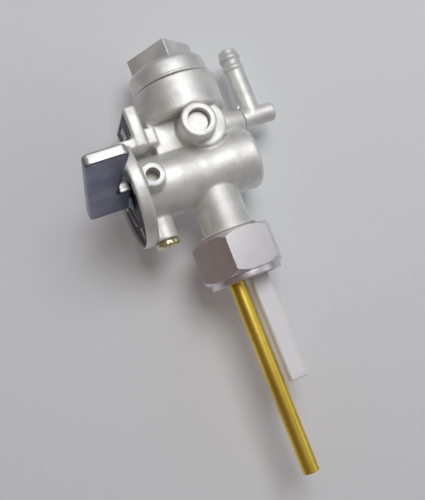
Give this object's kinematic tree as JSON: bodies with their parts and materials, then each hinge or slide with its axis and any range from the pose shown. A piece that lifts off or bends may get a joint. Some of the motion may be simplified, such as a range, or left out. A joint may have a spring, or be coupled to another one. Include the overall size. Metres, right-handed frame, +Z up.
{
  "type": "fuel tap",
  "caption": "Three-way fuel tap: cast body with turning lever, screw-in sediment bowl, barbed outlet, union nut, brass standpipe and strainer stem.",
  "frame": {"origin": "middle of the tank seat, in the plane of the gasket's upper face", "axes": "+Z up along the union nut and standpipe towards the tank, +X along the barrel towards the lever, -X towards the outlet, -Z towards the bowl"},
  "size_m": [0.0644, 0.0442, 0.1317],
  "materials": {
    "cast_zinc": "matt die-cast",
    "dark_plate": "gloss black with white numerals",
    "machined_aluminium": "machined satin",
    "fibre": "matt",
    "brass": "drawn satin",
    "white_nylon": "translucent moulded",
    "nylon_gauze": "woven gauze",
    "spring_steel": "bright",
    "black_rubber": "matt",
    "satin_lever_metal": "satin plated",
    "yellow_zinc": "yellow zinc plated"
  },
  "bodies": {
    "tap": {"body": "cast_zinc", "passage_disc": "cast_zinc", "dial_plate": "dark_plate", "tab_plate": "dark_plate", "tank_gasket": "fibre", "standpipe": "brass", "strainer_frame": "white_nylon", "strainer_mesh": "nylon_gauze", "valve_sleeve": "white_nylon", "wave_washer": "spring_steel", "retaining_screw": "yellow_zinc", "screw_washer": "spring_steel", "outlet_elbow": "cast_zinc"},
    "lever": {"lever": "satin_lever_metal", "plug_seal": "black_rubber"},
    "nut": {"union_nut": "machined_aluminium"},
    "bowl_carrier": {"bowl_seal": "black_rubber"},
    "bowl": {"filter_bowl": "cast_zinc", "bowl_screen_frame": "white_nylon", "bowl_screen_mesh": "nylon_gauze"}
  },
  "joints": [
    {"name": "lever_turn", "type": "hinge", "parent": "tap", "child": "lever", "pos_m": [0, 0, -0.027], "axis": [1, 0, 0], "range_deg": [-103.6, 76.4]},
    {"name": "nut_turn", "type": "hinge", "parent": "tap", "child": "nut", "pos_m": [0, 0, 0], "axis": [0, 0, 1], "continuous": true},
    {"name": "bowl_drop", "type": "slide", "parent": "tap", "child": "bowl_carrier", "axis": [0, 0, -1], "range_m": [0, 0.007]},
    {"name": "bowl_turn", "type": "hinge", "parent": "bowl_carrier", "child": "bowl", "pos_m": [0, 0, -0.05], "axis": [0, 0, 1], "range_deg": [0, 2520]}
  ],
  "couplings": [
    {"joint": "bowl_turn", "follows": "bowl_drop", "rad_per_m": 6283.2}
  ]
}
